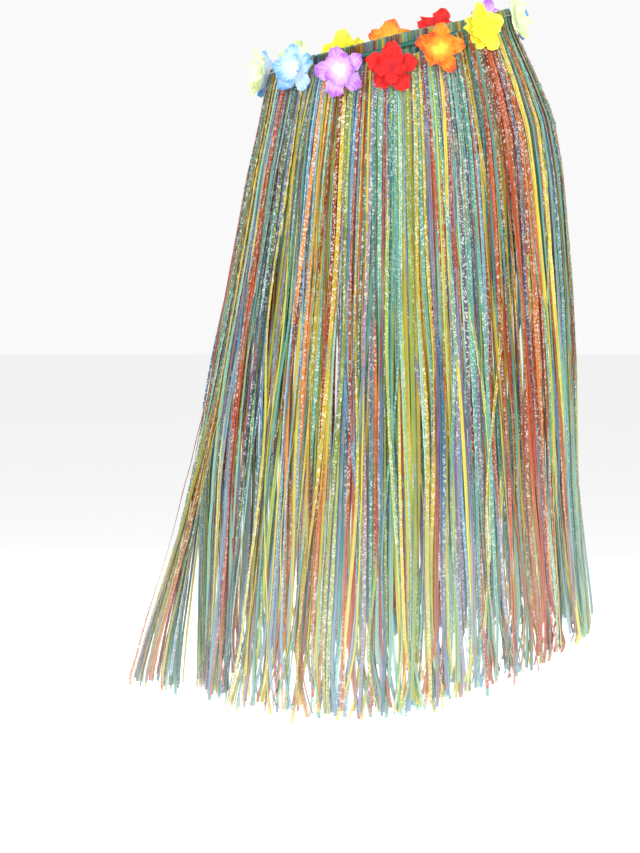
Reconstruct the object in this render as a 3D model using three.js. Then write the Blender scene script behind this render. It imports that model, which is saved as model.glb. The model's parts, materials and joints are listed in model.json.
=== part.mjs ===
// A full-length party grass skirt, worn: an elastic waistband, sixteen hanks of plastic film strips sewn side by
// side onto it, and a garland of fourteen two-layer cloth flowers. One hip is raised and one leg steps out sideways,
// so the band is tilted and one hank trails away from the rest. There is no wearer: the inside is an open hollow.
//
// Millimetres, +Z up. The origin is the middle of the waistband, where the wearer holds the skirt. +X is towards
// the raised hip, -Y is the front.
import * as THREE from "three";

// ---- driving dimensions ----
const STRIP_LENGTH = 800; // every film strip, from the band's top edge to its tip
const BAND_HEIGHT = 20; // elastic, top edge to bottom edge
const BAND_WALL = 2;
const FRINGE_WALL = 3; // several layers of crinkled film
const SEAM_GAP = 0.3; // left between pieces that touch
const HANK_COUNT = 16;
const FLOWER_COUNT = 14;
const HIP_TILT = 0.25; // rise of the band towards +X, a slope
const FRONT_DIP = 34; // how far the band's front hangs below its sides
const BACK_RISE = 10; // how far its back stands above them
const SQUARENESS = 0.035; // how much fuller than an ellipse the sections are, at their diagonals
const STEP_OUT = 22; // how far the stepping leg pushes the hem forward, at its own side
const STEP_ANGLE = 222; // degrees, where that push is greatest
const TRAILING_HANK = 12; // the hank that is drawn out over the stepping leg

// The inside of the fringe at heights measured down from the band's top edge: how far it reaches each way from the
// origin's axis.
const SECTIONS = [
  { drop: 0, left: 150, right: 150, front: 104, back: 104 },
  { drop: 40, left: 153, right: 157, front: 111, back: 112 },
  { drop: 90, left: 163, right: 183, front: 121, back: 126 },
  { drop: 150, left: 176, right: 206, front: 128, back: 138 },
  { drop: 220, left: 187, right: 215, front: 133, back: 143 },
  { drop: 340, left: 209, right: 224, front: 141, back: 144 },
  { drop: 480, left: 231, right: 230, front: 150, back: 144 },
  { drop: 640, left: 238, right: 235, front: 162, back: 147 },
  { drop: 800, left: 240, right: 252, front: 176, back: 153 },
];

// The trailing hank: how far it stands out beyond the fringe, how far it is drawn forward, and its share of its
// own width.
const TRAIL = [
  { drop: 0, out: 0, forward: 0, width: 1 },
  { drop: 340, out: 0, forward: 0, width: 1 },
  { drop: 460, out: 3, forward: 3, width: 0.72 },
  { drop: 580, out: 24, forward: 10, width: 0.44 },
  { drop: 700, out: 62, forward: 20, width: 0.42 },
  { drop: 800, out: 90, forward: 26, width: 0.4 },
];

// The folds across one hank, from edge to edge: how far each ridge stands out, and how much longer or shorter than
// STRIP_LENGTH it ends. Neighbouring hanks start at different folds.
const FOLDS = [
  { ridge: 0.2, hem: -9 },
  { ridge: 2.6, hem: 6 },
  { ridge: 0.6, hem: -3 },
  { ridge: 3.4, hem: 9 },
  { ridge: 1.1, hem: -12 },
  { ridge: 2.9, hem: 3 },
  { ridge: 0.4, hem: -5 },
];
const FOLDS_PER_HANK = 5;
const HANK_ROWS = 11;
const ROW_CROWDING = 1.35; // above 1 puts more rows near the band, where the form turns most

// The flowers' two layers of petals.
const LAYERS = {
  lower: { radius: 33, cup: 8, rise: 0, notch: 0.5, perPetal: 4, rings: 2 },
  upper: { radius: 22, cup: 11, rise: 3.2, notch: 0.42, perPetal: 2, rings: 2 },
};
const PETALS = 5;
const PETAL_WALL = 1;
const PETAL_SHOULDER = 0.93; // the outline's radius halfway between a petal's tip and the notch beside it
const FLOWER_STANDOFF = 7.5; // from the inside of the fringe to the back of a flower
const FLOWER_LIFT = 6; // every second flower stands this much further out, over its neighbours
const FLOWER_DROP = 10; // the flowers' middles, below the band's top edge
const UPPER_TURN = 36; // degrees between the two layers' petals

// The garland's colours, repeated from the lower hip across the front and round the back.
const GARLAND = ["lime", "blue", "purple", "red", "orange", "yellow"];
const FRONT_FLOWER = 3; // which flower of the garland is at the front's middle
const FLOWER_TURNS = [12, 4, 15, 0, -6, 7, -9]; // degrees about their own middles, repeated

// ---- colours, roughness ----
const FILM = {
  mint: 0x6fbfa8,
  red: 0xb8442e,
  yellow: 0xe3cf3f,
  blue: 0x6d8fc0,
  orange: 0xd66e28,
  lime: 0xa8c43c,
  violet: 0x786482,
  teal: 0x54967c,
};
const PETAL = {
  red: 0xd01c10,
  orange: 0xf0641c,
  yellow: 0xf6e62c,
  lime: 0xdcf29a,
  blue: 0x8fc0ea,
  purple: 0xc98be0,
};
const film = (colour) =>
  new THREE.MeshStandardMaterial({ color: colour, roughness: 0.28, metalness: 0 });
const petalCloth = (colour) =>
  new THREE.MeshStandardMaterial({ color: colour, roughness: 0.75, metalness: 0 });
const elastic = new THREE.MeshStandardMaterial({ color: 0x3f8f86, roughness: 0.8, metalness: 0 });

const radians = THREE.MathUtils.degToRad;

// The value of one column of a table at a drop, on a smooth curve through the rows that never overshoots them.
function column(rows, key, drop) {
  const last = rows.length - 1;
  let i = 0;
  while (i < last - 1 && drop > rows[i + 1].drop) i++;
  const slope = (a, b) => (rows[b][key] - rows[a][key]) / (rows[b].drop - rows[a].drop);
  const turns = (row) => row > 0 && row < last && slope(row - 1, row) * slope(row, row + 1) <= 0;
  const at = (row) => (turns(row) ? 0 : slope(Math.max(row - 1, 0), Math.min(row + 1, last)));
  const from = at(i);
  const to = at(i + 1);
  const span = rows[i + 1].drop - rows[i].drop;
  const t = THREE.MathUtils.clamp((drop - rows[i].drop) / span, 0, 1);
  const t2 = t * t;
  const t3 = t2 * t;
  return (
    (2 * t3 - 3 * t2 + 1) * rows[i][key] +
    (t3 - 2 * t2 + t) * span * from +
    (3 * t2 - 2 * t3) * rows[i + 1][key] +
    (t3 - t2) * span * to
  );
}

// A point on the inside of the fringe: an angle round it in radians, from +X towards the back, and a height below
// the band's top edge.
function fringePoint(angle, drop) {
  const across = Math.cos(angle);
  const along = Math.sin(angle);
  const fuller = 1 + SQUARENESS * Math.sin(2 * angle) ** 2;
  const step = STEP_OUT * (drop / STRIP_LENGTH) ** 2 * Math.max(0, Math.cos(angle - radians(STEP_ANGLE))) ** 2;
  const x = across * fuller * column(SECTIONS, across > 0 ? "right" : "left", drop);
  const y = along * fuller * column(SECTIONS, along > 0 ? "back" : "front", drop) - step;
  return new THREE.Vector3(x, y, bandTop(angle) - drop);
}

// The height of the band's top edge round the waist. The dip is narrow, and the rise at the back is broad.
function bandTop(angle) {
  const along = Math.sin(angle);
  const bend = along > 0 ? BACK_RISE * along ** 2 : -FRONT_DIP * along ** 4;
  return BAND_HEIGHT / 2 + HIP_TILT * SECTIONS[0].right * Math.cos(angle) + bend;
}

// The outward normal of the fringe at a point.
function fringeNormal(angle, drop) {
  const small = 0.002;
  const round = fringePoint(angle + small, drop).sub(fringePoint(angle - small, drop));
  const down = fringePoint(angle, drop + 1).sub(fringePoint(angle, Math.max(drop - 1, 0)));
  return down.cross(round).normalize();
}

// A point that stands off the inside of the fringe.
const standing = (angle, drop, offset) =>
  fringePoint(angle, drop).addScaledVector(fringeNormal(angle, drop), offset);

// The drop at which a strip of some length ends, because a strip that goes out over a hip hangs less low.
function dropOfStrip(angle, length) {
  const pace = 10;
  let left = length;
  let drop = 0;
  while (left > 0) {
    const stretch = fringePoint(angle, drop + pace).distanceTo(fringePoint(angle, drop));
    drop += pace * Math.min(1, left / stretch);
    left -= stretch;
  }
  return drop;
}

// Angles that part the waist into equal lengths, starting at the front's middle and going towards +X.
function evenAngles(count) {
  const steps = 2880;
  const front = radians(270);
  const at = (i) => fringePoint(front + (i / steps) * 2 * Math.PI, 0);
  const walked = [0];
  for (let i = 1; i <= steps; i++) walked.push(walked[i - 1] + at(i).distanceTo(at(i - 1)));
  const angles = [];
  for (let k = 0; k <= count; k++) {
    const goal = (k / count) * walked[steps];
    const i = Math.min(
      walked.findIndex((w) => w >= goal - 1e-9),
      steps,
    );
    angles.push(front + (i / steps) * 2 * Math.PI);
  }
  return angles;
}

// A closed wall between two grids of points, rows by columns, the first grid on the outside. A grid that joins its
// own last column to its first makes a tube.
function wall(outer, inner, joined) {
  const rows = outer.length;
  const columns = outer[0].length;
  const points = [...outer.flat(), ...inner.flat()];
  const face = [];
  const quad = (a, b, c, d) => face.push(a, b, c, a, c, d);
  const out = (r, c) => r * columns + (c % columns);
  const inn = (r, c) => rows * columns + out(r, c);
  const spans = joined ? columns : columns - 1;
  for (let c = 0; c < spans; c++) {
    for (let r = 0; r < rows - 1; r++) {
      quad(out(r, c), out(r + 1, c), out(r + 1, c + 1), out(r, c + 1));
      quad(inn(r, c), inn(r, c + 1), inn(r + 1, c + 1), inn(r + 1, c));
    }
    quad(inn(0, c), out(0, c), out(0, c + 1), inn(0, c + 1));
    quad(out(rows - 1, c), inn(rows - 1, c), inn(rows - 1, c + 1), out(rows - 1, c + 1));
  }
  if (!joined)
    for (let r = 0; r < rows - 1; r++) {
      quad(inn(r, 0), inn(r + 1, 0), out(r + 1, 0), out(r, 0));
      quad(out(r, spans), out(r + 1, spans), inn(r + 1, spans), inn(r, spans));
    }
  return closed(points, face);
}

// A geometry from shared points and the triangles between them.
function closed(points, face) {
  const geometry = new THREE.BufferGeometry();
  geometry.setAttribute("position", new THREE.Float32BufferAttribute(points.flatMap((p) => p.toArray()), 3));
  geometry.setIndex(face);
  geometry.computeVertexNormals();
  return geometry;
}

function mesh(name, geometry, material) {
  const made = new THREE.Mesh(geometry, material);
  made.name = name;
  return made;
}

// The elastic band, just inside the tops of the hanks.
function waistband() {
  const segments = 64;
  const ring = (drop, offset) =>
    Array.from({ length: segments }, (_, i) => standing((i / segments) * 2 * Math.PI, drop, offset));
  const grid = (offset) => [ring(0, offset), ring(BAND_HEIGHT, offset)];
  return mesh("waistband", wall(grid(-SEAM_GAP), grid(-SEAM_GAP - BAND_WALL), true), elastic);
}

// One hank of strips from its first angle to its last, as a folded wall with an uneven hem.
function hank(number, first, last) {
  const trailing = number === TRAILING_HANK;
  const middle = (first + last) / 2;
  const edge = SEAM_GAP / 2 / fringePoint(middle, 0).setZ(0).length(); // as an angle, at the narrow end
  const columns = Array.from({ length: FOLDS_PER_HANK + 1 }, (_, c) => {
    const fold = FOLDS[(number * 3 + c) % FOLDS.length];
    const angle = THREE.MathUtils.lerp(first + edge, last - edge, c / FOLDS_PER_HANK);
    return { angle, ridge: fold.ridge, end: dropOfStrip(angle, STRIP_LENGTH + fold.hem) };
  });
  const grid = (offsetOf) =>
    Array.from({ length: HANK_ROWS + 1 }, (_, r) =>
      columns.map(({ angle, ridge, end }) => {
        const share = (r / HANK_ROWS) ** ROW_CROWDING;
        const drop = end * share;
        const offset = offsetOf(ridge * Math.min(1, share * 6));
        if (!trailing) return standing(angle, drop, offset);
        const narrowed = middle + (angle - middle) * column(TRAIL, "width", drop);
        const out = fringeNormal(middle, drop).setZ(0).normalize();
        return standing(narrowed, drop, offset)
          .addScaledVector(out, column(TRAIL, "out", drop))
          .add(new THREE.Vector3(0, -column(TRAIL, "forward", drop), 0));
      }),
    );
  const colours = Object.values(FILM);
  const geometry = wall(
    grid((ridge) => FRINGE_WALL + ridge),
    grid(() => 0),
    false,
  );
  const name = trailing ? "hank_trailing" : `hank_${String(number).padStart(2, "0")}`;
  return mesh(name, geometry, film(colours[number % colours.length]));
}

// One layer of petals in its own frame: +Z out of the flower, petals in XY, cupped outwards.
function petalLayer({ radius, cup, rise, notch, perPetal, rings }, turn) {
  const segments = PETALS * perPetal;
  const outline = [notch, PETAL_SHOULDER, 1, PETAL_SHOULDER];
  const reach = (s) => outline[((s % perPetal) * outline.length) / perPetal] * radius;
  const point = (s, ring, side) => {
    const angle = radians(90 + turn) + ((s - perPetal / 2) / segments) * 2 * Math.PI;
    const r = (reach(s) * ring) / rings;
    const height = rise + cup * (r / radius) ** 2 + side * PETAL_WALL;
    return new THREE.Vector3(r * Math.cos(angle), r * Math.sin(angle), height);
  };
  const sheet = (side) => {
    const points = [new THREE.Vector3(0, 0, rise + side * PETAL_WALL)];
    for (let ring = 1; ring <= rings; ring++)
      for (let s = 0; s < segments; s++) points.push(point(s, ring, side));
    return points;
  };
  const front = sheet(1);
  const back = sheet(0);
  const at = (ring, s) => 1 + (ring - 1) * segments + (s % segments);
  const face = [];
  const both = (a, b, c) => face.push(a, b, c, front.length + a, front.length + c, front.length + b);
  for (let s = 0; s < segments; s++) {
    both(0, at(1, s), at(1, s + 1));
    for (let ring = 1; ring < rings; ring++) {
      both(at(ring, s), at(ring + 1, s), at(ring + 1, s + 1));
      both(at(ring, s), at(ring + 1, s + 1), at(ring, s + 1));
    }
    const [a, b] = [at(rings, s), at(rings, s + 1)];
    face.push(a, front.length + a, front.length + b, a, front.length + b, b);
  }
  return closed([...front, ...back], face);
}

// One flower, turned to lie against the band. Its number is its place in the garland.
function flower(number, angle) {
  const colour = GARLAND[number % GARLAND.length];
  const lift = number % 2 === 0 ? FLOWER_LIFT : 0;
  const out = fringeNormal(angle, FLOWER_DROP);
  const up = fringePoint(angle, 0).sub(fringePoint(angle, FLOWER_DROP)).normalize();
  const side = up.clone().cross(out).normalize();
  const group = new THREE.Group();
  group.setRotationFromMatrix(new THREE.Matrix4().makeBasis(side, out.clone().cross(side), out));
  group.position.copy(standing(angle, FLOWER_DROP, FLOWER_STANDOFF + lift));
  const turn = FLOWER_TURNS[number % FLOWER_TURNS.length];
  const name = `flower_${String(number).padStart(2, "0")}_${colour}`;
  group.add(mesh(`${name}_lower`, petalLayer(LAYERS.lower, turn), petalCloth(PETAL[colour])));
  group.add(mesh(`${name}_upper`, petalLayer(LAYERS.upper, turn + UPPER_TURN), petalCloth(PETAL[colour])));
  return group;
}

const skirt = new THREE.Group();
skirt.add(waistband());
const seams = evenAngles(HANK_COUNT);
for (let k = 0; k < HANK_COUNT; k++) skirt.add(hank(k, seams[k], seams[k + 1]));
const places = evenAngles(FLOWER_COUNT);
for (let k = 0; k < FLOWER_COUNT; k++) {
  const place = (k - FRONT_FLOWER + FLOWER_COUNT) % FLOWER_COUNT;
  skirt.add(flower(k, places[place]));
}

export default skirt;
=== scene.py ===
"""A long party grass skirt: film strips looped over an elastic waistband, with a garland of cloth flowers."""

import json
import math

import bpy
import numpy as np
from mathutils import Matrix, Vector
from mathutils.bvhtree import BVHTree


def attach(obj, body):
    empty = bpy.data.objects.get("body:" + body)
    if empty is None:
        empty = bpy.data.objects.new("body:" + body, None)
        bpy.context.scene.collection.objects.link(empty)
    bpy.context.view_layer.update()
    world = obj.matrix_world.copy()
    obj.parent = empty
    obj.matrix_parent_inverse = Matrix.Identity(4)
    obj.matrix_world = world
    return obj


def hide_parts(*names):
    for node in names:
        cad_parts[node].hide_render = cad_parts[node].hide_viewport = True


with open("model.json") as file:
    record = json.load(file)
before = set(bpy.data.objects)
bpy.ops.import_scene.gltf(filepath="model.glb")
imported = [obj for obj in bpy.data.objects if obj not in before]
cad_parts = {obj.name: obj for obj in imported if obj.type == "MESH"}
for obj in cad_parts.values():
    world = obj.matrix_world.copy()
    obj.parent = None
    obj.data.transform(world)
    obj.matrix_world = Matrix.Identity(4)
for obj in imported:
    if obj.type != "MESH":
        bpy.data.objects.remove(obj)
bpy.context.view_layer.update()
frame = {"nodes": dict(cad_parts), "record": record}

bl_info = {
    "name": "Grass skirt",
    "version": (1, 0, 0),
    "blender": (4, 5, 0),
    "location": "View3D > Sidebar > Skirt",
    "description": "Film strips, an elastic waistband and a garland of cloth flowers",
    "category": "Add Mesh",
}

TAU = 2 * math.pi
HANKS = sorted(n for n in frame["nodes"] if n.startswith("hank_"))
TRAILING = "hank_trailing"
BAND = "waistband"
FLOWERS = sorted({n.rsplit("_", 1)[0] for n in frame["nodes"] if n.startswith("flower_")})
SLOT_OF = {part["node"]: part["material_slot"] for part in frame["record"]["subparts"]}

# Film colours: the strip's own colour, where it is doubled over and dark, and its share of all the strips.
FILMS = {
    "red": {"colour": (0.66, 0.11, 0.06), "deep": (0.30, 0.03, 0.02), "share": 0.19},
    "orange": {"colour": (0.84, 0.30, 0.09), "deep": (0.44, 0.11, 0.03), "share": 0.065},
    "yellow": {"colour": (0.90, 0.76, 0.12), "deep": (0.58, 0.44, 0.05), "share": 0.18},
    "lime": {"colour": (0.58, 0.70, 0.18), "deep": (0.26, 0.34, 0.07), "share": 0.09},
    "mint": {"colour": (0.34, 0.74, 0.60), "deep": (0.10, 0.34, 0.27), "share": 0.14},
    "teal": {"colour": (0.16, 0.46, 0.42), "deep": (0.04, 0.19, 0.18), "share": 0.10},
    "blue": {"colour": (0.25, 0.50, 0.70), "deep": (0.07, 0.18, 0.32), "share": 0.145},
    "violet": {"colour": (0.30, 0.26, 0.44), "deep": (0.11, 0.08, 0.18), "share": 0.09},
}

# Petal cloth: at the petals' base, halfway and at their tips, and how crumpled it is.
PETALS = {
    "lime": {
        "base": (0.86, 0.95, 0.60),
        "middle": (0.90, 0.98, 0.72),
        "tip": (0.72, 0.90, 0.42),
        "crumple": 0.8,
    },
    "blue": {
        "base": (0.90, 0.95, 1.0),
        "middle": (0.62, 0.82, 0.98),
        "tip": (0.10, 0.38, 0.82),
        "crumple": 0.9,
    },
    "purple": {
        "base": (0.95, 0.88, 0.98),
        "middle": (0.76, 0.48, 0.90),
        "tip": (0.44, 0.12, 0.70),
        "crumple": 0.8,
    },
    "red": {
        "base": (0.52, 0.0, 0.01),
        "middle": (0.76, 0.01, 0.01),
        "tip": (0.80, 0.015, 0.01),
        "crumple": 1.3,
    },
    "orange": {
        "base": (1.0, 0.72, 0.06),
        "middle": (0.95, 0.36, 0.02),
        "tip": (0.80, 0.07, 0.01),
        "crumple": 1.1,
    },
    "yellow": {
        "base": (0.88, 0.80, 0.02),
        "middle": (0.96, 0.90, 0.04),
        "tip": (0.98, 0.92, 0.10),
        "crumple": 1.0,
    },
}

# A strip's way over the band, from its tucked end: how far below the band's top edge, and how far out from
# the fringe's inside, in millimetres.
LOOP = [
    {"below": 13.0, "out": -3.4},
    {"below": 6.0, "out": -3.5},
    {"below": 0.5, "out": -3.2},
    {"below": -2.2, "out": -1.6},
    {"below": -1.8, "out": 0.2},
    {"below": 3.0, "out": 1.4},
    {"below": 10.0, "out": 1.3},
]

CAD_BAND_SEGMENTS = 64  # straight pieces round the CAD band
TUCK = 0.02  # a strip's length above and behind the band's edge
LEAVES = 0.34  # below the band, where the trailing hank parts from the fringe
PARTING = 0.12  # the height over which it does

# How the strips hang, in metres where it is a size: drift to the side, of a lock and of one strip; the share
# of strays and how much further they drift; the most that a lock draws together; the spread of the tips; and
# the depth of the layers.
HANG = {
    "lock_drift": 0.0032,
    "own_drift": 0.0042,
    "strays": 0.16,
    "stray_drift": 2.6,
    "gather": 0.22,
    "tip_spread": 0.013,
    "layers": 0.0052,
}
PETALS_EACH = 5


# ---- the form that the frame gives ----


def triangles_of(name):
    """A CAD node's points and triangles."""
    mesh = frame["nodes"][name].data
    mesh.calc_loop_triangles()
    points = np.array([v.co for v in mesh.vertices])
    return points, np.array([t.vertices for t in mesh.loop_triangles])


class Fringe:
    """The inside of the fringe, as its distance from the origin's axis at each angle and height."""

    STEP_Z = 0.01
    COUNT = 240

    def __init__(self):
        points, faces, start = [], [], 0
        for name in HANKS:
            if name == TRAILING:
                continue
            p, t = triangles_of(name)
            points.append(p)
            faces.append(t + start)
            start += len(p)
        points, faces = np.concatenate(points), np.concatenate(faces)
        tree = BVHTree.FromPolygons(points.tolist(), faces.tolist())
        self.high, self.low = points[:, 2].max(), points[:, 2].min()
        self.levels = np.arange(self.high, self.low - 0.06, -self.STEP_Z)
        self.angles = np.arange(self.COUNT) / self.COUNT * TAU
        reach = np.full((self.COUNT, len(self.levels)), np.nan)
        for i, angle in enumerate(self.angles):
            way = Vector((math.cos(angle), math.sin(angle), 0))
            for j, z in enumerate(self.levels):
                hit = tree.ray_cast(Vector((0, 0, z)), way, 0.5)
                if hit[0] is not None:
                    reach[i, j] = hit[3]
        self.reach = self.filled(reach)
        self.top = self.band_edge()

    def filled(self, reach):
        """The table with its gaps closed, under the trailing hank and past the hem and top, and smoothed."""
        for j in range(reach.shape[1]):
            known = np.flatnonzero(np.isfinite(reach[:, j]))
            if len(known) > self.COUNT * 0.6:
                reach[:, j] = np.interp(
                    np.arange(self.COUNT), known, reach[known, j], period=self.COUNT
                )
        for row in reach:
            known = np.flatnonzero(np.isfinite(row))
            row[:] = np.interp(np.arange(len(row)), known, row[known])
        around = np.concatenate([reach[-3:], reach, reach[:3]])
        return sum(around[k : k + self.COUNT] for k in range(7)) / 7

    def band_edge(self):
        """The height of the band's top edge at each angle."""
        points, _ = triangles_of(BAND)
        around = np.arctan2(points[:, 1], points[:, 0]) % TAU
        top = np.full(self.COUNT, np.nan)
        span = 1.5 * TAU / (2 * CAD_BAND_SEGMENTS)
        for i, angle in enumerate(self.angles):
            near = np.abs((around - angle + math.pi) % TAU - math.pi) < span
            if near.any():
                top[i] = points[near, 2].max()
        smooth = np.concatenate([top[-6:], top, top[:6]])
        return sum(smooth[k : k + self.COUNT] for k in range(13)) / 13

    def edge(self, angle):
        """The height of the band's top edge."""
        return np.interp(angle % TAU, self.angles, self.top, period=TAU)

    def distance(self, angle, z):
        """How far the inside of the fringe is from the axis."""
        i = (np.asarray(angle) % TAU) / TAU * self.COUNT
        j = np.clip((self.high - z) / self.STEP_Z, 0, len(self.levels) - 1.001)
        i0, j0 = np.floor(i).astype(int), np.floor(j).astype(int)
        u, v = i - i0, j - j0
        a, b = i0 % self.COUNT, (i0 + 1) % self.COUNT
        low = self.reach[a, j0] * (1 - u) + self.reach[b, j0] * u
        high = self.reach[a, j0 + 1] * (1 - u) + self.reach[b, j0 + 1] * u
        return low * (1 - v) + high * v

    def even_angles(self, count):
        """Angles that part the band's edge into equal lengths."""
        fine = np.linspace(0, TAU, 2001)
        far = self.distance(fine, self.edge(fine))
        line = np.stack([far * np.cos(fine), far * np.sin(fine), self.edge(fine)], axis=1)
        walked = np.concatenate([[0], np.cumsum(np.linalg.norm(np.diff(line, axis=0), axis=1))])
        self.girth = walked[-1]
        return np.interp(np.arange(count) / count * walked[-1], walked, fine)


class TrailingHank:
    """Where the hank that trails lies at each height: its middle, and how wide it is."""

    def __init__(self, fringe):
        points, faces = triangles_of(TRAILING)
        corner = points[faces]
        self.levels = np.arange(points[:, 2].max() - 0.07, points[:, 2].min() + 0.02, -0.02)
        self.middle, self.width = [], []
        for z in self.levels:
            met = []
            for a, b in ((0, 1), (1, 2), (2, 0)):
                p, q = corner[:, a], corner[:, b]
                crosses = (p[:, 2] - z) * (q[:, 2] - z) < 0
                share = (z - p[crosses, 2]) / (q[crosses, 2] - p[crosses, 2])
                met.append(p[crosses] + (q[crosses] - p[crosses]) * share[:, None])
            met = np.concatenate(met)
            self.middle.append(met[:, :2].mean(axis=0))
            spread = met[:, :2] - met[:, :2].mean(axis=0)
            self.width.append(2 * np.sqrt((spread**2).sum(axis=1)).max())
        self.middle, self.width = np.array(self.middle), np.array(self.width)
        self.first, self.last = self.span(points, fringe)

    def span(self, points, fringe):
        """The angles of the hank's two edges at the band."""
        around = np.arctan2(points[:, 1], points[:, 0]) % TAU
        near = points[:, 2] > fringe.edge(around) - 0.02
        return around[near].min(), around[near].max()

    def drawn(self, fringe, angle, z):
        """How far the hank's middle is drawn off the fringe at a height, and its share of its full width."""
        low = self.levels[::-1]
        x = np.interp(z, low, self.middle[::-1, 0])
        y = np.interp(z, low, self.middle[::-1, 1])
        home = fringe.distance(angle, z) + 0.002
        moved = np.stack([x - home * np.cos(angle), y - home * np.sin(angle)], axis=-1)
        full = (self.last - self.first) * fringe.distance(angle, z)
        share = np.clip(np.interp(z, low, self.width[::-1]) / full, 0.2, 1)
        leaves = np.clip((fringe.edge(angle) - z - LEAVES) / PARTING, 0, 1)[..., None]
        return moved * leaves, 1 + (share - 1) * leaves[..., 0]


# ---- node trees ----


def add(tree, kind, inputs=None, **settings):
    """A node with its settings, and its inputs joined to sockets or set to values."""
    node = tree.nodes.new(kind)
    for name, value in settings.items():
        setattr(node, name, value)
    for key, value in (inputs or {}).items():
        if isinstance(value, bpy.types.NodeSocket):
            tree.links.new(value, node.inputs[key])
        else:
            node.inputs[key].default_value = value
    return node


def maths(tree, operation, *values):
    """A sum of one or two numbers, as a socket."""
    return add(tree, "ShaderNodeMath", dict(enumerate(values)), operation=operation).outputs[0]


def times(tree, a, b):
    return maths(tree, "MULTIPLY", a, b)


def plus(tree, a, b):
    return maths(tree, "ADD", a, b)


def minus(tree, a, b):
    return maths(tree, "SUBTRACT", a, b)


def vectors(tree, operation, *values):
    """A sum of vectors, as a socket."""
    made = add(tree, "ShaderNodeVectorMath", operation=operation)
    for i, value in enumerate(values):
        socket = made.inputs["Scale"] if operation == "SCALE" and i == 1 else made.inputs[i]
        if isinstance(value, bpy.types.NodeSocket):
            tree.links.new(value, socket)
        else:
            socket.default_value = value
    return made.outputs[0]


def named(tree, name, kind="FLOAT"):
    """An attribute of the geometry, as a socket."""
    return add(tree, "GeometryNodeInputNamedAttribute", {"Name": name}, data_type=kind).outputs[0]


def vector(tree, name):
    return named(tree, name, "FLOAT_VECTOR")


def noise(tree, where, scale, detail, **more):
    """A noise texture's node."""
    return add(tree, "ShaderNodeTexNoise", {"Vector": where, "Scale": scale, "Detail": detail, **more})


def keep(tree, geometry, name, value, kind="FLOAT", domain="POINT"):
    """The geometry with a value stored on it."""
    made = add(
        tree,
        "GeometryNodeStoreNamedAttribute",
        {"Geometry": geometry, "Name": name, "Value": value},
        data_type=kind,
        domain=domain,
    )
    return made.outputs[0]


def group(name, inputs):
    """A Geometry Nodes tree with named inputs, and its two end nodes."""
    tree = bpy.data.node_groups.new(name, "GeometryNodeTree")
    for label, kind, value in inputs:
        made = tree.interface.new_socket(label, in_out="INPUT", socket_type=kind)
        if value is not None:
            made.default_value = value
    tree.interface.new_socket("Geometry", in_out="OUTPUT", socket_type="NodeSocketGeometry")
    return tree, tree.nodes.new("NodeGroupInput").outputs, tree.nodes.new("NodeGroupOutput")


def close(tree, end, geometry, material):
    """Ends a tree in real geometry with its material on it."""
    real = add(tree, "GeometryNodeRealizeInstances", {"Geometry": geometry}).outputs[0]
    painted = add(tree, "GeometryNodeSetMaterial", {"Geometry": real, "Material": material})
    tree.links.new(painted.outputs[0], end.inputs[0])


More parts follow.
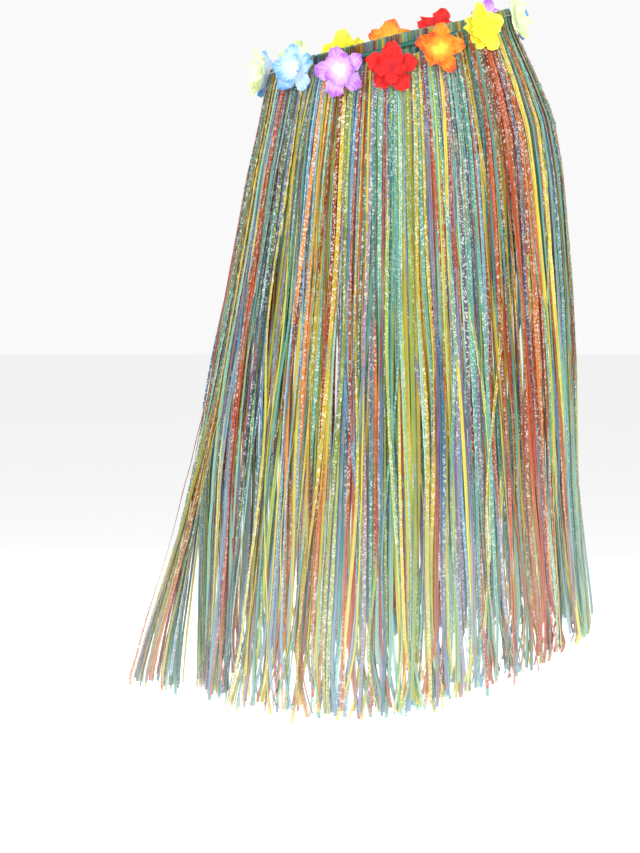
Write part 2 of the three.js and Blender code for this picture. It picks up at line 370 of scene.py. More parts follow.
def strips_tree():
    """Film strips along guide curves: each a ribbon of true width, folded lengthwise, turned and crinkled."""
    tree, given, end = group(
        "Film strips",
        [
            ("Guides", "NodeSocketObject", None),
            ("Width", "NodeSocketFloat", 0.005),
            ("Step", "NodeSocketFloat", 0.005),
            ("Crinkle depth", "NodeSocketFloat", 0.001),
            ("Crinkle length", "NodeSocketFloat", 0.006),
            ("Crinkle turn", "NodeSocketFloat", 1.2),
            ("Lanes", "NodeSocketFloat", 100.0),
            ("Seed", "NodeSocketFloat", 0.0),
            ("Material", "NodeSocketMaterial", None),
        ],
    )
    guides = add(tree, "GeometryNodeObjectInfo", {"Object": given["Guides"]}).outputs["Geometry"]
    curves = add(tree, "GeometryNodeResampleCurve", mode="LENGTH")
    tree.links.new(guides, curves.inputs["Curve"])
    tree.links.new(given["Step"], curves.inputs["Length"])
    run = add(tree, "GeometryNodeSplineParameter").outputs["Length"]
    lane, crumple = named(tree, "lane"), named(tree, "crumple")
    paced = maths(tree, "DIVIDE", run, given["Crinkle length"])
    spot = {0: paced, 1: times(tree, lane, 7.31), 2: given["Seed"]}
    place = add(tree, "ShaderNodeCombineXYZ", spot).outputs[0]
    wave = noise(tree, place, 1.0, 1.0)
    swing = vectors(tree, "SUBTRACT", wave.outputs["Color"], (0.5, 0.5, 0.5))
    parts = add(tree, "ShaderNodeSeparateXYZ", {0: swing}).outputs
    along = add(tree, "GeometryNodeInputTangent").outputs[0]
    level = vectors(tree, "NORMALIZE", vectors(tree, "CROSS_PRODUCT", along, vector(tree, "outward")))
    extra = times(tree, times(tree, parts[0], crumple), given["Crinkle turn"])
    turned = add(
        tree,
        "ShaderNodeVectorRotate",
        {"Vector": level, "Axis": along, "Angle": plus(tree, named(tree, "turn"), extra)},
        rotation_type="AXIS_ANGLE",
    ).outputs[0]
    out = vectors(tree, "NORMALIZE", vectors(tree, "CROSS_PRODUCT", turned, along))
    line = keep(tree, curves.outputs[0], "side", turned, "FLOAT_VECTOR")
    line = keep(tree, line, "face", out, "FLOAT_VECTOR")
    line = keep(tree, line, "run", run)
    shove = vectors(
        tree,
        "ADD",
        vectors(tree, "SCALE", vector(tree, "face"), times(tree, parts[1], crumple)),
        vectors(tree, "SCALE", vector(tree, "side"), times(tree, parts[2], crumple)),
    )
    moved = add(
        tree,
        "GeometryNodeSetPosition",
        {"Geometry": line, "Offset": vectors(tree, "SCALE", shove, given["Crinkle depth"])},
    ).outputs[0]
    here = add(tree, "GeometryNodeInputPosition").outputs[0]
    line = keep(tree, moved, "centre", here, "FLOAT_VECTOR")

    profile = add(tree, "GeometryNodeCurvePrimitiveLine", {"Start": (-1, 0, 0), "End": (1, 0, 0)}).outputs[0]
    profile = add(tree, "GeometryNodeResampleCurve", {"Curve": profile, "Count": 4}, mode="COUNT").outputs[0]
    profile = keep(tree, profile, "across", add(tree, "ShaderNodeSeparateXYZ", {0: here}).outputs[0])
    ribbon = add(tree, "GeometryNodeCurveToMesh", {"Curve": line, "Profile Curve": profile}).outputs[0]

    across, fold = named(tree, "across"), named(tree, "fold")
    spot = add(
        tree,
        "ShaderNodeCombineXYZ",
        {
            0: maths(tree, "DIVIDE", named(tree, "run"), given["Crinkle length"]),
            1: plus(tree, times(tree, lane, 3.7), times(tree, across, 1.9)),
            2: plus(tree, given["Seed"], 5.0),
        },
    ).outputs[0]
    jitter = noise(tree, spot, 1.3, 1.0).outputs["Fac"]
    jitter = times(tree, minus(tree, jitter, 0.5), crumple)
    sixth = maths(tree, "DIVIDE", given["Width"], 6.0)
    zigzag = times(tree, maths(tree, "SINE", times(tree, across, 1.5 * math.pi)), sixth)
    raised = times(tree, zigzag, maths(tree, "SINE", fold))
    raised = plus(tree, raised, times(tree, jitter, given["Crinkle depth"]))
    half = times(tree, given["Width"], 0.5)
    reach = times(tree, times(tree, across, half), maths(tree, "COSINE", fold))
    point = vectors(
        tree,
        "ADD",
        vector(tree, "centre"),
        vectors(
            tree,
            "ADD",
            vectors(tree, "SCALE", vector(tree, "side"), reach),
            vectors(tree, "SCALE", vector(tree, "face"), raised),
        ),
    )
    ribbon = add(tree, "GeometryNodeSetPosition", {"Geometry": ribbon, "Position": point}).outputs[0]
    column = plus(tree, lane, times(tree, plus(tree, across, 1.25), 0.4))
    column = maths(tree, "DIVIDE", column, given["Lanes"])
    sheet = add(tree, "ShaderNodeCombineXYZ", {0: column, 1: named(tree, "reach")}).outputs[0]
    ribbon = keep(tree, ribbon, "OFBake", sheet, "FLOAT2", "CORNER")
    ribbon = add(tree, "GeometryNodeSetShadeSmooth", {"Geometry": ribbon, "Shade Smooth": False}).outputs[0]
    close(tree, end, ribbon, given["Material"])
    return tree


def grown(name, tree, values):
    """A plain mesh object made by a tree, with the tree's inputs set by their names."""
    host = bpy.data.objects.new(name, bpy.data.meshes.new(name))
    bpy.context.scene.collection.objects.link(host)
    modifier = host.modifiers.new("Made", "NODES")
    modifier.node_group = tree
    for socket in tree.interface.items_tree:
        if socket.in_out == "INPUT" and socket.name in values:
            modifier[socket.identifier] = values[socket.name]
    graph = bpy.context.evaluated_depsgraph_get()
    made = bpy.data.meshes.new_from_object(host.evaluated_get(graph), depsgraph=graph)
    host.modifiers.clear()
    host.data = made
    made.name = name
    return host


# ---- materials ----


def material(name):
    """An empty node material and its tree."""
    made = bpy.data.materials.new(name)
    made.use_nodes = True
    made.node_tree.nodes.clear()
    return made, made.node_tree


def attribute(tree, name):
    """A number stored on the mesh, as a socket."""
    return add(tree, "ShaderNodeAttribute", attribute_name=name).outputs["Fac"]


def mixed(tree, share, a, b):
    """Two colours mixed, as a socket."""
    made = add(tree, "ShaderNodeMix", data_type="RGBA")
    for socket, value in ((made.inputs[0], share), (made.inputs[6], a), (made.inputs[7], b)):
        if isinstance(value, bpy.types.NodeSocket):
            tree.links.new(value, socket)
        else:
            socket.default_value = value if isinstance(value, (int, float)) else (*value[:3], 1)
    return made.outputs[2]


def ramp(tree, value, low, high):
    """0 below low, 1 above high, and smooth between."""
    return add(
        tree,
        "ShaderNodeMapRange",
        {0: value, 1: low, 2: high, 3: 0.0, 4: 1.0},
        interpolation_type="SMOOTHSTEP",
    ).outputs[0]


def bumped(tree, height, strength, distance):
    """A normal raised by height, as a socket."""
    values = {"Strength": strength, "Distance": distance, "Height": height}
    return add(tree, "ShaderNodeBump", values).outputs[0]


def show(tree, shader):
    """Ends a material's tree."""
    tree.links.new(shader, add(tree, "ShaderNodeOutputMaterial").inputs[0])


def film_material(name, colour, deep):
    """Thin see-through film: tinted, glossy, pearly, with crinkles that catch the light, painted shade in its
    creases and painted glints.
    """
    made, tree = material("film_" + name)
    where = add(tree, "ShaderNodeTexCoord").outputs["Object"]
    stretched = add(tree, "ShaderNodeMapping", {"Vector": where, "Scale": (1, 1, 0.12)}).outputs[0]
    streak = noise(tree, stretched, 260.0, 2.0).outputs["Fac"]
    tone, reach, crumple = attribute(tree, "tone"), attribute(tree, "reach"), attribute(tree, "crumple")
    light = ramp(tree, plus(tree, times(tree, streak, 0.7), tone), 0.35, 1.15)
    body = mixed(tree, light, deep, colour)
    # what shows through from the strips behind
    drift = add(tree, "ShaderNodeMapping", {"Vector": where, "Scale": (1, 1, 0.06)}).outputs[0]
    patch = noise(tree, drift, 150.0, 1.0)
    hue = add(tree, "ShaderNodeSeparateColor", {0: patch.outputs["Color"]}).outputs
    under = mixed(tree, ramp(tree, hue[1], 0.4, 0.6), (0.36, 0.10, 0.05), (0.10, 0.30, 0.34))
    under = mixed(tree, ramp(tree, hue[2], 0.45, 0.65), under, (0.62, 0.58, 0.20))
    body = mixed(tree, times(tree, ramp(tree, hue[0], 0.5, 0.7), 0.34), body, under)
    # painted shade in the creases, paler tips and painted glints
    crease_shade_and_grain = noise(tree, where, 640.0, 2.0).outputs["Fac"]
    # painted shade: the film is darkened in a fine pattern of creases, more where it is crumpled
    dark = times(tree, minus(tree, 1.0, ramp(tree, crease_shade_and_grain, 0.36, 0.5)), crumple)
    body = mixed(tree, times(tree, dark, 0.38), body, tuple(0.4 * c for c in colour))
    pale = tuple(0.5 + 0.5 * c for c in colour)
    body = mixed(tree, times(tree, ramp(tree, reach, 0.55, 1.0), 0.45), body, pale)
    cells = add(tree, "ShaderNodeTexVoronoi", {"Vector": where, "Scale": 560.0}).outputs["Color"]
    cell = add(tree, "ShaderNodeSeparateColor", {0: cells}).outputs[0]
    # painted glints: small cells of the film are tinted near white, mostly on crumpled strips
    painted_glint = times(tree, ramp(tree, cell, 0.74, 0.8), ramp(tree, crumple, 0.12, 0.7))
    glint_white = tuple(0.72 + 0.28 * c for c in colour)
    body = mixed(tree, times(tree, painted_glint, 0.88), body, glint_white)
    crease = noise(tree, where, 520.0, 3.0, Roughness=0.65)
    bump = bumped(tree, crease.outputs["Fac"], 0.6, 0.0008)
    gloss = add(
        tree,
        "ShaderNodeBsdfPrincipled",
        {
            "Base Color": body,
            "Roughness": 0.24,
            "Specular IOR Level": 0.75,
            "Thin Film Thickness": 420.0,
            "Thin Film IOR": 1.4,
            "Normal": bump,
        },
    ).outputs[0]
    glow = add(tree, "ShaderNodeBsdfTranslucent", {"Color": body, "Normal": bump}).outputs[0]
    show(tree, add(tree, "ShaderNodeMixShader", {0: 0.38, 1: gloss, 2: glow}).outputs[0])
    return made


# ---- strips ----


def wander(random, count, along, waves, size):
    """Smooth sideways drift for each of count strips, nothing at the band and full at the hem."""
    drift = np.zeros((count, len(along)))
    for k in range(1, waves + 1):
        turn = random.uniform(0, TAU, (count, 1))
        rate = random.uniform(0.6, 1.4, (count, 1)) * k
        drift += random.normal(0, 1, (count, 1)) * np.sin(turn + rate * along * TAU * 0.55) / k
    return drift * size * np.clip(along * 2.2, 0, 1)


def hanging_paths(random, settings, fringe, trailing, home, lock, drop):
    """The strips' lines from the band's edge down, and the layer that each lies in."""
    count, share = len(home), np.clip(drop / settings.length, 0, 1)
    lock_drift = wander(random, settings.locks, share, 2, HANG["lock_drift"])[lock]
    own_drift = wander(random, count, share, 3, HANG["own_drift"])
    strays = random.random(count) < HANG["strays"]
    own_drift[strays] *= HANG["stray_drift"]
    drawn = random.uniform(0.0, HANG["gather"], settings.locks)[lock][:, None]
    gather = drawn * np.clip((share - 0.25) / 0.4, 0, 1)
    gather[strays] *= 0.3
    away = (home - fringe.even_angles(settings.locks)[lock] + math.pi) % TAU - math.pi
    spread = random.normal(0, HANG["tip_spread"], (count, 1))
    splay = spread * np.clip((share - 0.88) / 0.12, 0, 1.6) ** 1.5
    z = fringe.edge(home)[:, None] - drop[None]
    far = fringe.distance(home[:, None], z)
    angle = home[:, None] - away[:, None] * gather + (lock_drift + own_drift + splay) / far

    layer = random.random((count, 1))
    lift = 0.0012 + HANG["layers"] * layer * np.clip(drop / 0.03, 0.15, 1)
    lift = lift + 0.004 * share * layer + np.abs(wander(random, count, share, 3, 0.0022))
    far = fringe.distance(angle, z) + lift
    x, y = far * np.cos(angle), far * np.sin(angle)

    trails = (home > trailing.first) & (home < trailing.last)
    middle = (trailing.first + trailing.last) / 2
    levels = z[trails]
    moved, narrow = trailing.drawn(fringe, np.full_like(levels, middle), levels)
    pulled = middle + (angle[trails] - middle) * narrow
    far = fringe.distance(pulled, levels) + lift[trails]
    own = random.uniform(0.25, 1.05, (trails.sum(), 1))
    x[trails] = far * np.cos(pulled) + moved[..., 0] * own
    y[trails] = far * np.sin(pulled) + moved[..., 1] * own
    return np.stack([x, y, z], axis=-1), layer


def loops_over_band(random, fringe, home, layer):
    """The strips' lines from their tucked ends over the band's edge."""
    edge = fringe.edge(home)[:, None]
    below = np.array([row["below"] for row in LOOP]) / 1000
    out = np.array([row["out"] for row in LOOP]) / 1000
    outer = np.clip((out - out.min()) / (out.max() - out.min()), 0, 1)
    tuck = fringe.distance(home[:, None], edge - below[None]) + out[None] + 0.0016 * layer * outer
    rise = 0.0014 * random.random((len(home), 1)) * (below < 0.001)
    x, y = tuck * np.cos(home)[:, None], tuck * np.sin(home)[:, None]
    return np.stack([x, y, edge - below[None] + rise], axis=-1)


def cut_to_length(random, settings, paths, drops):
    """The strips' lines cut to length, and how far below the band each point is."""
    count = len(paths)
    step = np.linalg.norm(np.diff(paths, axis=1), axis=2)
    walked = np.concatenate([np.zeros((count, 1)), np.cumsum(step, axis=1)], axis=1)
    short = np.where(random.random(count) < 0.12, random.uniform(0.012, 0.05, count), 0)
    wanted = settings.length + TUCK + random.normal(0, 0.006, count) - short
    at = np.linspace(0, 1, settings.points)[None] * wanted[:, None]
    cut = np.array([[np.interp(at[k], walked[k], paths[k, :, c]) for c in range(3)] for k in range(count)])
    depth = np.array([np.interp(at[k], walked[k], drops) for k in range(count)])
    return cut.transpose(0, 2, 1), depth


def lay_strips(settings, fringe, trailing):
    """Each strip's path, its way out, the values along it and its colour: one row a strip."""
    random = np.random.default_rng(settings.seed)
    count, length = settings.strips, settings.length
    drop = np.linspace(0, 1.12 * length, 76)
    home = fringe.even_angles(count)
    home = home + random.normal(0, 0.35 * TAU / count, count)
    locks = fringe.even_angles(settings.locks)
    lock = np.abs((home[:, None] - locks[None] + math.pi) % TAU - math.pi).argmin(axis=1)
    hanging, layer = hanging_paths(random, settings, fringe, trailing, home, lock, drop)
    start = loops_over_band(random, fringe, home, layer)
    first = np.searchsorted(drop, 0.018)
    paths = np.concatenate([start, hanging[:, first:]], axis=1)
    drops = np.concatenate([np.zeros(len(LOOP)), drop[first:]])
    paths, depth = cut_to_length(random, settings, paths, drops)
    outward = paths * (1, 1, 0)
    outward /= np.linalg.norm(outward, axis=2, keepdims=True)

    share = depth / length
    crinkled = random.random((count, 1)) < 0.6
    crumple = np.where(crinkled, 1.0, 0.3) * (1.05 - 0.5 * np.clip(share * 1.2, 0, 1) ** 0.8)
    phase = random.uniform(0, TAU, (count, 1))
    crumple *= 1 + 0.6 * np.sin(phase + share * random.uniform(8, 22, (count, 1)))
    crumple *= np.clip(depth / 0.02, 0.1, 1)
    turn = random.normal(0, 0.35, (count, 1)) + wander(random, count, share.mean(axis=0), 3, 0.5)
    fold = random.uniform(0.15, 1.05, (count, 1)) + wander(random, count, share.mean(axis=0), 2, 0.22)
    fold = np.clip(fold, 0.1, 1.2) * np.clip(0.75 + 0.25 * share, 0, 1)
    fold = np.where(crinkled, np.clip(fold, 0.1, 0.75), fold)
    tone = np.broadcast_to(random.random((count, 1)), share.shape)
    films = list(FILMS)
    weight = np.array([FILMS[f]["share"] for f in films])
    leading = random.choice(len(films), settings.locks, p=weight / weight.sum())[lock]
    colour = random.choice(len(films), count, p=weight / weight.sum())
    colour = np.where(random.random(count) < 0.16, leading, colour)
    reach = np.broadcast_to(np.linspace(0, 1, settings.points)[None], share.shape)
    values = {"crumple": crumple, "turn": turn, "fold": fold, "tone": tone, "reach": reach}
    return paths, outward, values, colour


def guide_curves(name, paths, outward, values):
    """A curves object with one guide a strip."""
    data = bpy.data.hair_curves.new(name)
    data.add_curves([paths.shape[1]] * len(paths))
    data.attributes["position"].data.foreach_set("vector", paths.astype(np.float32).ravel())
    data.attributes.new("outward", "FLOAT_VECTOR", "POINT").data.foreach_set(
        "vector", outward.astype(np.float32).ravel()
    )
    lane = np.broadcast_to(np.arange(len(paths))[:, None], paths.shape[:2])
    for key, value in {**values, "lane": lane}.items():
        data.attributes.new(key, "FLOAT", "POINT").data.foreach_set(
            "value", np.ascontiguousarray(value, np.float32).ravel()
        )
    made = bpy.data.objects.new(name, data)
    bpy.context.scene.collection.objects.link(made)
    return made


def thread_tree():
    """A zigzag thread along a guide curve."""
    tree, given, end = group(
        "Zigzag thread",
        [
            ("Guide", "NodeSocketObject", None),
            ("Pitch", "NodeSocketFloat", 0.002),
            ("Height", "NodeSocketFloat", 0.0015),
            ("Thickness", "NodeSocketFloat", 0.0003),
            ("Material", "NodeSocketMaterial", None),
        ],
    )
    guide = add(tree, "GeometryNodeObjectInfo", {"Object": given["Guide"]}).outputs["Geometry"]
    pitch = {"Curve": guide, "Length": given["Pitch"]}
    line = add(tree, "GeometryNodeResampleCurve", pitch, mode="LENGTH").outputs[0]
    odd = maths(tree, "MODULO", add(tree, "GeometryNodeInputIndex").outputs[0], 2.0)
    high = times(tree, minus(tree, odd, 0.5), given["Height"])
    offset = add(tree, "ShaderNodeCombineXYZ", {2: high}).outputs[0]
    line = add(tree, "GeometryNodeSetPosition", {"Geometry": line, "Offset": offset}).outputs[0]
    circle = {"Resolution": 5, "Radius": given["Thickness"]}
    profile = add(tree, "GeometryNodeCurvePrimitiveCircle", circle).outputs[0]
    made = add(tree, "GeometryNodeCurveToMesh", {"Curve": line, "Profile Curve": profile}).outputs[0]
    close(tree, end, made, given["Material"])
    return tree


def elastic_material(name, colour, ribs):
    """Knitted elastic or thread: matt, with fine ribs."""
    made, tree = material(name)
    where = add(tree, "ShaderNodeTexCoord").outputs["Object"]
    fine = noise(tree, where, ribs, 3.0).outputs["Fac"]
    body = mixed(tree, ramp(tree, fine, 0.3, 0.7), tuple(0.6 * c for c in colour), colour)
    bump = bumped(tree, fine, 0.5, 0.0004)
    values = {"Base Color": body, "Roughness": 0.75, "Sheen Weight": 0.2, "Normal": bump}
    show(tree, add(tree, "ShaderNodeBsdfPrincipled", values).outputs[0])
    return made


def petal_material(name, look):
    """Dyed petal cloth: the ink runs from the base to the tips, with veins and a fine weave."""
    made, tree = material("petal_" + name)
    where = add(tree, "ShaderNodeTexCoord").outputs["Object"]
    blot = noise(tree, where, 90.0, 3.0).outputs["Fac"]
    dyed = plus(tree, attribute(tree, "tip"), times(tree, minus(tree, blot, 0.5), 0.55))
    dyed = plus(tree, dyed, times(tree, attribute(tree, "vein"), 0.10))
    body = mixed(tree, ramp(tree, dyed, 0.12, 0.5), look["base"], look["middle"])
    body = mixed(tree, ramp(tree, dyed, 0.55, 1.05), body, look["tip"])
    waves = {"Vector": where, "Scale": 700.0, "Distortion": 1.5}
    weave = add(tree, "ShaderNodeTexWave", waves).outputs["Fac"]
    bump = bumped(tree, weave, 0.25, 0.0002)
    values = {"Base Color": body, "Roughness": 0.7, "Sheen Weight": 0.15, "Normal": bump}
    cloth = add(tree, "ShaderNodeBsdfPrincipled", values).outputs[0]
    glow = add(tree, "ShaderNodeBsdfTranslucent", {"Color": body}).outputs[0]
    show(tree, add(tree, "ShaderNodeMixShader", {0: 0.22, 1: cloth, 2: glow}).outputs[0])
    return made


# ---- flowers and band ----


def plain_mesh(name, points, faces, values, finish):
    """An object from points and faces, with a number stored on each point for every name in values."""
    mesh = bpy.data.meshes.new(name)
    mesh.from_pydata(points.tolist(), [], faces.tolist())
    for key, value in values.items():
        stored = mesh.attributes.new(key, "FLOAT", "POINT")
        stored.data.foreach_set("value", value.astype(np.float32).ravel())
    mesh.materials.append(finish)
    mesh.shade_smooth()
    made = bpy.data.objects.new(name, mesh)
    bpy.context.scene.collection.objects.link(made)
    return made


def seat(node):
    """Where a flower's layer sits: the middle of its back, the way out, a petal's way and its reach."""
    points, _ = triangles_of(node)
    middle = points.mean(axis=0)
    _, _, axes = np.linalg.svd(points - middle)
    out = axes[2] * np.sign(axes[2] @ (middle * (1, 1, 0)))
    flat = points - middle - np.outer((points - middle) @ out, out)
    reach = np.linalg.norm(flat, axis=1)
    tip = flat[reach.argmax()] / reach.max()
    back = ((points - middle) @ out).min()
    return middle + out * back, out, tip, reach.max()


def petals(random, radius, cup, crumple, rows, columns):
    """Five petals in one sheet: points in the sheet's own frame, faces, values, and the flat cut's area."""
    wedge = math.tan(math.pi / PETALS_EACH)
    s, u = np.meshgrid(np.linspace(0.02, 1, rows), np.linspace(-1, 1, columns), indexing="ij")
    notch = 0.34 * radius
    d = s * radius
    t = np.clip((d - notch) / (radius - notch), 0, 1)
    full = notch * wedge + (0.385 * radius - notch * wedge) * np.sin(np.minimum(t * 1.5, 1) * math.pi / 2)
    x = u * np.where(d < notch, d * wedge, full)
    y = d - (radius - notch) * 0.46 * np.abs(u) ** 2.4 * t**1.5
    free = np.clip(t * 2.2, 0, 1) ** 2
    points, faces, tips, veins, area = [], [], [], [], 0
    grid = np.arange(rows * columns).reshape(rows, columns)
    corners = [grid[:-1, :-1], grid[:-1, 1:], grid[1:, 1:], grid[1:, :-1]]
    quads = np.stack(corners, axis=-1).reshape(-1, 4)
    for k in range(PETALS_EACH):
        lift, curl = random.uniform(-0.02, 0.16), random.uniform(-0.16, 0.12)
        fold = random.choice([-1, 1]) * random.uniform(0.02, 0.10)
        h = cup * (np.hypot(x, y) / radius) ** 2
        h = h + free * radius * (lift * t + curl * t**3 + fold * (1 - np.abs(u)) * t * 0.8)
        phase = random.uniform(0, TAU, 6)
        h += free * crumple * 0.0011 * np.sin(phase[0] + 5.2 * u + 2.5 * t)
        h += free * t * crumple * 0.0012 * np.sin(phase[1] + 9.0 * u - 4.0 * t)
        h += free * crumple * 0.0006 * np.sin(phase[2] + 8.0 * t + 2.0 * u)
        h += free * 0.00022 * np.sin(26 * u)
        px = x * (1 - 0.22 * random.random() * t) + free * crumple * 0.0009 * np.sin(phase[3] + 9 * t)
        py = y + free * crumple * 0.0008 * np.sin(phase[4] + 7 * u)
        py = py - free * 0.6 * np.maximum(h - cup * (y / radius) ** 2, 0)
        cos, sin = math.cos(k * TAU / PETALS_EACH), math.sin(k * TAU / PETALS_EACH)
        faces.append(quads + len(points) * rows * columns)
        points.append(np.stack([px * cos - py * sin, px * sin + py * cos, h], axis=-1))
        tips.append(np.clip(y / radius + random.uniform(-0.1, 0.1), 0, 1))
        veins.append(np.sin(26 * u) * free)
        corner = np.stack([x, y], axis=-1).reshape(-1, 2)[quads]
        a, b = corner[:, 2] - corner[:, 0], corner[:, 3] - corner[:, 1]
        area += np.abs(a[:, 0] * b[:, 1] - a[:, 1] * b[:, 0]).sum() / 2
    values = {"tip": np.array(tips), "vein": np.array(veins)}
    return np.array(points).reshape(-1, 3), np.concatenate(faces), values, area


def declare(piece, nodes):
    """Parents a finished cloth piece to the root and hides the CAD nodes it stands in for."""
    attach(piece, "root")
    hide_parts(*nodes)


# ---- add-on ----


class StripSettings(bpy.types.PropertyGroup):
    """The film strips' sizes and arrangement"""

    strips: bpy.props.IntProperty(name="Strips", description="How many strips of film", default=860, min=8)
    locks: bpy.props.IntProperty(
        name="Locks", description="How many loose locks they hang in", default=92, min=4
    )
    length: bpy.props.FloatProperty(
        name="Length", description="From the band's top edge to a strip's tip", default=0.8, unit="LENGTH"
    )
    width: bpy.props.FloatProperty(
        name="Width", description="A strip's flat width", default=0.005, precision=4, unit="LENGTH"
    )
    step: bpy.props.FloatProperty(
        name="Step", description="Between the crinkles along a strip",
        default=0.0054, precision=4, unit="LENGTH"
    )
    crinkle: bpy.props.FloatProperty(
        name="Crinkle depth", description="How deep the crinkles are",
        default=0.0016, precision=4, unit="LENGTH"
    )
    points: bpy.props.IntProperty(name="Guide points", description="Points on each guide", default=64)
    seed: bpy.props.IntProperty(name="Seed", description="Chooses another arrangement", default=11)


class BandSettings(bpy.types.PropertyGroup):
    """The waistband's and the thread's sizes"""

    height: bpy.props.FloatProperty(
        name="Height", description="The band's height", default=0.020, precision=4, unit="LENGTH"
    )
    wall: bpy.props.FloatProperty(
        name="Wall", description="The band's thickness", default=0.002, precision=4, unit="LENGTH"
    )
    ribs: bpy.props.IntProperty(name="Ribs", description="Ribs round the band", default=240, min=24)
    rib_depth: bpy.props.FloatProperty(
        name="Rib depth", description="How far the ribs stand out", default=0.0002, precision=5, unit="LENGTH"
    )
    thread_drop: bpy.props.FloatProperty(
        name="Thread", description="From the band's top edge down to the thread",
        default=0.008, precision=4, unit="LENGTH"
    )


class FlowerSettings(bpy.types.PropertyGroup):
    """The flowers' fineness and shapes"""

    rows: bpy.props.IntProperty(name="Rows", description="Rows of points on each petal", default=16, min=6)
    crumple: bpy.props.FloatProperty(name="Crumple", description="How crumpled the petals are", default=1.0)
    seed: bpy.props.IntProperty(name="Seed", description="Chooses other petal shapes", default=5)


class StageSettings(bpy.types.PropertyGroup):
    """The camera and the floor"""

    distance: bpy.props.FloatProperty(
        name="Camera distance", description="From the skirt to the camera", default=3.75, unit="LENGTH"
    )
    elevation: bpy.props.FloatProperty(
        name="Elevation", description="How far the camera looks down",
        default=math.radians(4), subtype="ANGLE"
    )
    height: bpy.props.FloatProperty(
        name="View height", description="What the picture takes in from bottom to top",
        default=1.0918, unit="LENGTH"
    )
    floor: bpy.props.FloatProperty(
        name="Floor", description="The floor, below the waistband", default=1.02, unit="LENGTH"
    )


class SKIRT_OT_strips(bpy.types.Operator):
    """Hang the film strips from the band"""

    bl_idname = "skirt.strips"
    bl_label = "Film strips"

    def execute(self, context):
        settings = context.scene.skirt_strips
        fringe = Fringe()
        trailing = TrailingHank(fringe)
        paths, outward, values, colour = lay_strips(settings, fringe, trailing)
        tree = strips_tree()
        for k, film in enumerate(FILMS):
            mine = colour == k
            guides = guide_curves(
                "guides_" + film, paths[mine], outward[mine], {key: v[mine] for key, v in values.items()}
            )
            piece = grown(
                "film_strips_" + film,
                tree,
                {
                    "Guides": guides,
                    "Width": settings.width,
                    "Step": settings.step,
                    "Crinkle depth": settings.crinkle,
                    "Lanes": float(mine.sum()),
                    "Seed": float(k * 13),
                    "Material": film_material(film, FILMS[film]["colour"], FILMS[film]["deep"]),
                },
            )
            bpy.data.objects.remove(guides)
            slot = "film_" + film
            nodes = [n for n in HANKS if SLOT_OF[n] == slot]
            declare(piece, nodes)
        return {"FINISHED"}


class SKIRT_OT_band(bpy.types.Operator):
    """Make the elastic waistband and the thread that holds the strips"""

    bl_idname = "skirt.band"
    bl_label = "Waistband"

    def execute(self, context):
        settings = context.scene.skirt_band
        fringe = Fringe()
        columns = settings.ribs * 4
        angles = fringe.even_angles(columns)
        edge = fringe.edge(angles)
        height, wall = settings.height, settings.wall
        downs = np.linspace(0.02, 0.98, 7)
        profile = [(0.0, k) for k in downs] + [(1.0, k) for k in downs[::-1]]
        rib = np.sin(np.arange(columns) / 4 * TAU) * settings.rib_depth
        ruche = np.sin(angles * 47) * settings.rib_depth
        points = []
        for deep, down in profile:
            z = edge - 0.0003 - down * (height - 0.0006)
            bulge = rib * math.sin(math.pi * down) * (1 if deep == 0 else -1)
            far = fringe.distance(angles, z) - 0.0007 - rib.max() - deep * (wall - 0.0008) + bulge
            z = z + ruche * math.cos(math.pi * down) * 0.8
            points.append(np.stack([far * np.cos(angles), far * np.sin(angles), z], axis=-1))
        n = len(profile)
        grid = np.arange(n * columns).reshape(n, columns)
        after = np.roll(grid, -1, axis=0)
        faces = np.stack([grid, after, np.roll(after, -1, axis=1), np.roll(grid, -1, axis=1)], axis=-1)
        band = plain_mesh(
            "elastic_band",
            np.concatenate(points),
            faces.reshape(-1, 4),
            {},
            elastic_material("elastic", (0.06, 0.30, 0.26), 900.0),
        )
        declare(band, [BAND])

        at = fringe.even_angles(400)
        z = fringe.edge(at) - settings.thread_drop
        far = fringe.distance(at, z) + 0.0042
        ring = np.stack([far * np.cos(at), far * np.sin(at), z], axis=-1)
        ring = np.concatenate([ring, ring[:1]])[None]
        guide = guide_curves("guide_thread", ring, ring, {})
        thread = grown(
            "zigzag_thread",
            thread_tree(),
            {"Guide": guide, "Material": elastic_material("thread", (0.72, 0.74, 0.70), 1500.0)},
        )
        bpy.data.objects.remove(guide)
        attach(thread, "root")
        return {"FINISHED"}


class SKIRT_OT_flowers(bpy.types.Operator):
    """Make the garland of two-layer flowers"""

    bl_idname = "skirt.flowers"
    bl_label = "Flowers"

    def execute(self, context):
        settings = context.scene.skirt_flowers
        finish = {name: petal_material(name, look) for name, look in PETALS.items()}
        for k, flower in enumerate(FLOWERS):
            colour = flower.rsplit("_", 1)[1]
            random = np.random.default_rng(settings.seed + k)
            for layer in ("lower", "upper"):
                node = flower + "_" + layer
                origin, out, tip, radius = seat(node)
                lower = layer == "lower"
                crumple = PETALS[colour]["crumple"] * (1 if lower else 0.7) * settings.crumple
                points, faces, values, area = petals(
                    random, radius, 0.007 if lower else 0.010, crumple, settings.rows, settings.rows - 2
                )
                side = np.cross(tip, out)
                placed = origin + points[:, :1] * side + points[:, 1:2] * tip + points[:, 2:] * out
                piece = plain_mesh(node + "_cloth", placed, faces, values, finish[colour])
                declare(piece, [node])
        return {"FINISHED"}


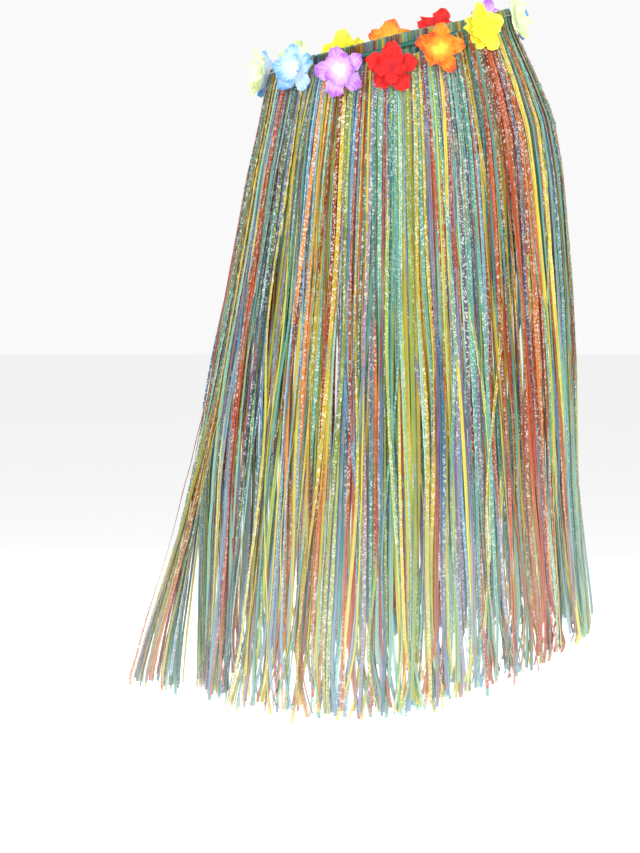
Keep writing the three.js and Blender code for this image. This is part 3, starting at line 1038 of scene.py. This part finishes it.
class SKIRT_OT_stage(bpy.types.Operator):
    """Set up the floor, the lights and the camera"""

    bl_idname = "skirt.stage"
    bl_label = "Stage"

    def execute(self, context):
        settings = context.scene.skirt_stage
        self.floor(settings)
        self.lights()
        world = bpy.data.worlds.new("Studio")
        world.use_nodes = True
        sky = world.node_tree.nodes["Background"].inputs
        sky[0].default_value, sky[1].default_value = (1, 1, 1, 1), 0.95
        context.scene.world = world
        context.scene.view_settings.view_transform = "Standard"
        centre = Vector((-0.0883, 0, -0.4827))
        up = settings.elevation
        data = bpy.data.cameras.new("Camera")
        data.sensor_width = 36
        data.lens = data.sensor_width * settings.distance / settings.height
        camera = bpy.data.objects.new("Camera", data)
        camera.location = centre + settings.distance * Vector((0, -math.cos(up), math.sin(up)))
        camera.rotation_euler = (math.pi / 2 - up, 0, 0)
        context.scene.collection.objects.link(camera)
        context.scene.camera = camera
        return {"FINISHED"}

    def floor(self, settings):
        """A wide pale floor, open on all sides."""
        radius, corners = 14.0, 96
        turns = [k / corners * TAU for k in range(corners)]
        points = [(radius * math.cos(a), radius * math.sin(a), -settings.floor) for a in turns]
        mesh = bpy.data.meshes.new("floor")
        mesh.from_pydata(points, [], [tuple(range(corners))])
        floor = bpy.data.objects.new("floor", mesh)
        made, tree = material("paper_sweep")
        crease_shade_and_grain = add(tree, "ShaderNodeTexNoise", {"Scale": 60.0, "Detail": 4.0}).outputs["Fac"]
        tint = mixed(tree, maths(tree, "MULTIPLY", crease_shade_and_grain, 0.12), (0.93, 0.93, 0.93), (0.86, 0.86, 0.86))
        paper = add(tree, "ShaderNodeBsdfPrincipled", {"Base Color": tint, "Roughness": 0.9})
        tree.links.new(paper.outputs[0], add(tree, "ShaderNodeOutputMaterial").inputs[0])
        mesh.materials.append(made)
        bpy.context.scene.collection.objects.link(floor)

    def lights(self):
        """Soft lights all round, and two small ones for the film's glints."""
        rows = [
            {"name": "key", "place": (-1.7, -2.9, 1.3), "size": 1.3, "power": 62},
            {"name": "fill", "place": (2.4, -2.2, 0.2), "size": 1.6, "power": 28},
            {"name": "top", "place": (0.2, 0.4, 2.2), "size": 1.6, "power": 18},
            {"name": "back", "place": (0.6, 2.6, 0.6), "size": 1.8, "power": 24},
            {"name": "glint_left", "place": (-0.9, -2.6, -0.3), "size": 0.12, "power": 10},
            {"name": "glint_right", "place": (1.3, -2.4, 0.9), "size": 0.12, "power": 10},
        ]
        for row in rows:
            data = bpy.data.lights.new(row["name"], "AREA")
            data.size, data.energy = row["size"], row["power"]
            light = bpy.data.objects.new(row["name"], data)
            light.location = row["place"]
            aim = Vector((0, 0, -0.4)) - light.location
            light.rotation_euler = aim.to_track_quat("-Z", "Y").to_euler()
            bpy.context.scene.collection.objects.link(light)


class SKIRT_PT_panel(bpy.types.Panel):
    """The skirt's pieces"""

    bl_idname = "SKIRT_PT_panel"
    bl_label = "Grass skirt"
    bl_space_type = "VIEW_3D"
    bl_region_type = "UI"
    bl_category = "Skirt"

    def draw(self, context):
        for name in ("strips", "band", "flowers", "stage"):
            settings, operator = getattr(context.scene, "skirt_" + name), "skirt." + name
            box = self.layout.box()
            for key in settings.bl_rna.properties.keys():
                if key not in ("rna_type", "name"):
                    box.prop(settings, key)
            box.operator(operator)


CLASSES = (
    StripSettings,
    BandSettings,
    FlowerSettings,
    StageSettings,
    SKIRT_OT_strips,
    SKIRT_OT_band,
    SKIRT_OT_flowers,
    SKIRT_OT_stage,
    SKIRT_PT_panel,
)


def register():
    for made in CLASSES:
        bpy.utils.register_class(made)
    bpy.types.Scene.skirt_strips = bpy.props.PointerProperty(type=StripSettings)
    bpy.types.Scene.skirt_band = bpy.props.PointerProperty(type=BandSettings)
    bpy.types.Scene.skirt_flowers = bpy.props.PointerProperty(type=FlowerSettings)
    bpy.types.Scene.skirt_stage = bpy.props.PointerProperty(type=StageSettings)


def unregister():
    del bpy.types.Scene.skirt_stage
    del bpy.types.Scene.skirt_flowers
    del bpy.types.Scene.skirt_band
    del bpy.types.Scene.skirt_strips
    for made in reversed(CLASSES):
        bpy.utils.unregister_class(made)


def main():
    register()
    bpy.ops.skirt.strips()
    bpy.ops.skirt.band()
    bpy.ops.skirt.flowers()
    bpy.ops.skirt.stage()


if __name__ == "__main__":
    main()
